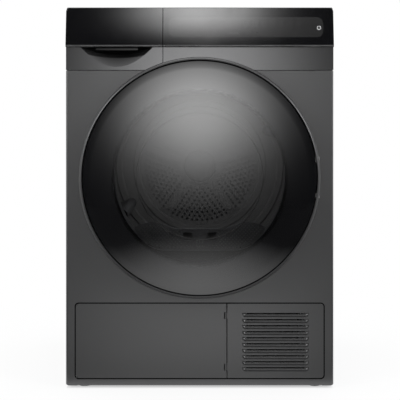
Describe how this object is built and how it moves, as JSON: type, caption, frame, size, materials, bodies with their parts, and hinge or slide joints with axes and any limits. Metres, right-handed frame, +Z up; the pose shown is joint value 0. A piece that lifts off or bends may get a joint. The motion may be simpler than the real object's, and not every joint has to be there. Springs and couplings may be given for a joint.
{
  "type": "clothes dryer",
  "caption": "Free-standing front-loading heat-pump clothes dryer with round smoked glass door, black glass control panel, water tank drawer, service flap and louvred grille.",
  "frame": {"origin": "on the floor, in the middle of the whole body's width and depth, door and rear duct cover included", "axes": "+Z up, front with the door faces -Y, +X to the right seen from the front"},
  "size_m": [0.596, 0.655, 0.85],
  "materials": {
    "body_paint": "satin metallic graphite paint",
    "worktop": "textured matt graphite",
    "black_glass": "polished black-backed glass",
    "strip": "satin metallic graphite plastic",
    "trim": "brushed",
    "galvanised": "galvanised sheet",
    "steel": "satin stainless steel",
    "zinc": "zinc plated",
    "dark_plastic": "moulded, fine grain",
    "grey_plastic": "moulded, satin",
    "white_plastic": "natural moulded plastic",
    "tank_plastic": "translucent moulded plastic",
    "ring_metal": "satin metallic graphite",
    "door_glass": "smoked tempered glass",
    "clear_glass": "clear moulded glass",
    "rubber": "matt",
    "felt": "pressed wool felt",
    "motor_paint": "satin",
    "compressor_paint": "gloss black",
    "fins": "mill finish",
    "copper": "drawn copper tube",
    "foot_plastic": "light grey moulded"
  },
  "bodies": {
    "root": {"front_panel": "body_paint", "side_panel_left": "body_paint", "side_panel_right": "body_paint", "rear_panel": "galvanised", "rear_duct_cover": "galvanised", "rear_screws": "zinc", "top_panel": "worktop", "base_tray": "dark_plastic", "vent_grille": "grey_plastic", "control_fascia": "strip", "control_glass": "black_glass", "glass_trim": "trim", "tank_housing": "white_plastic", "front_bulkhead": "galvanised", "port_collar": "grey_plastic", "filter_well": "grey_plastic", "felt_seals": "felt", "rear_bearing": "zinc", "drive_belt": "rubber", "motor": "motor_paint", "process_duct": "dark_plastic", "exchanger_cover": "grey_plastic", "evaporator": "fins", "condenser": "fins", "compressor": "compressor_paint", "refrigerant_pipes": "copper", "fan_frame": "dark_plastic", "hinge_bracket": "zinc", "door_lock": "white_plastic", "cable_gland": "dark_plastic"},
    "door": {"door_ring": "ring_metal", "door_glass": "door_glass", "door_frame": "dark_plastic", "door_window": "clear_glass", "door_seal": "rubber", "hinge_arm": "zinc", "door_hook": "white_plastic"},
    "water_tank": {"tank_front_glass": "black_glass", "tank_front_grip": "strip", "tank_glass_trim": "trim", "water_tank": "tank_plastic", "tank_lid": "white_plastic"},
    "service_flap": {"service_flap": "body_paint"},
    "drum": {"drum_barrel": "steel", "drum_rear_wall": "steel", "drum_lifters": "grey_plastic", "drum_shaft": "zinc"},
    "motor_rotor": {"motor_shaft": "zinc", "fan_impeller": "dark_plastic"},
    "idler_arm": {"idler_arm": "zinc"},
    "idler_pulley": {"idler_pulley": "dark_plastic"},
    "roller_left": {"roller_left": "rubber"},
    "roller_right": {"roller_right": "rubber"},
    "cooling_fan": {"cooling_fan": "dark_plastic"},
    "lint_filter": {"lint_filter": "dark_plastic", "lint_filter_cover": "grey_plastic"},
    "foot_front_left": {"foot_front_left": "foot_plastic"},
    "foot_front_right": {"foot_front_right": "foot_plastic"},
    "foot_rear_left": {"foot_rear_left": "foot_plastic"},
    "foot_rear_right": {"foot_rear_right": "foot_plastic"}
  },
  "joints": [
    {"name": "door_hinge", "type": "hinge", "parent": "root", "child": "door", "pos_m": [0.257, -0.3015, 0.4714], "axis": [0, 0, 1], "range_deg": [0, 120]},
    {"name": "tank_slide", "type": "slide", "parent": "root", "child": "water_tank", "axis": [0, -1, 0], "range_m": [0, 0.43]},
    {"name": "flap_hinge", "type": "hinge", "parent": "root", "child": "service_flap", "pos_m": [0.0582, -0.2745, 0.1], "axis": [0, 0, 1], "range_deg": [0, 100]},
    {"name": "drum_spin", "type": "hinge", "parent": "root", "child": "drum", "pos_m": [0, 0, 0.4714], "axis": [0, 1, 0], "continuous": true},
    {"name": "motor_spin", "type": "hinge", "parent": "root", "child": "motor_rotor", "pos_m": [0.165, 0.1, 0.13], "axis": [0, 1, 0], "continuous": true},
    {"name": "idler_arm_pivot", "type": "hinge", "parent": "root", "child": "idler_arm", "pos_m": [0.11, -0.05, 0.186], "axis": [0, 1, 0], "range_deg": [0, 12], "stiffness_Nm_per_rad": 2, "springref_deg": -17.19},
    {"name": "idler_spin", "type": "hinge", "parent": "idler_arm", "child": "idler_pulley", "pos_m": [0.075, -0.04, 0.146], "axis": [0, 1, 0], "continuous": true},
    {"name": "roller_left_spin", "type": "hinge", "parent": "root", "child": "roller_left", "pos_m": [-0.15565, -0.16, 0.20181], "axis": [0, 1, 0], "continuous": true},
    {"name": "roller_right_spin", "type": "hinge", "parent": "root", "child": "roller_right", "pos_m": [0.15565, -0.16, 0.20181], "axis": [0, 1, 0], "continuous": true},
    {"name": "cooling_fan_spin", "type": "hinge", "parent": "root", "child": "cooling_fan", "pos_m": [0.16875, -0.24, 0.1065], "axis": [0, 1, 0], "continuous": true},
    {"name": "lint_filter_lift", "type": "slide", "parent": "root", "child": "lint_filter", "axis": [0, 0, 1], "range_m": [0, 0.19]},
    {"name": "foot_front_left_screw", "type": "slide", "parent": "root", "child": "foot_front_left", "axis": [0, 0, -1], "range_m": [0, 0.015]},
    {"name": "foot_front_right_screw", "type": "slide", "parent": "root", "child": "foot_front_right", "axis": [0, 0, -1], "range_m": [0, 0.015]},
    {"name": "foot_rear_left_screw", "type": "slide", "parent": "root", "child": "foot_rear_left", "axis": [0, 0, -1], "range_m": [0, 0.015]},
    {"name": "foot_rear_right_screw", "type": "slide", "parent": "root", "child": "foot_rear_right", "axis": [0, 0, -1], "range_m": [0, 0.015]}
  ],
  "couplings": [
    {"joint": "motor_spin", "follows": "drum_spin", "ratio": 27.256},
    {"joint": "idler_spin", "follows": "drum_spin", "ratio": 18.492},
    {"joint": "roller_left_spin", "follows": "drum_spin", "ratio": -11.44},
    {"joint": "roller_right_spin", "follows": "drum_spin", "ratio": -11.44}
  ]
}
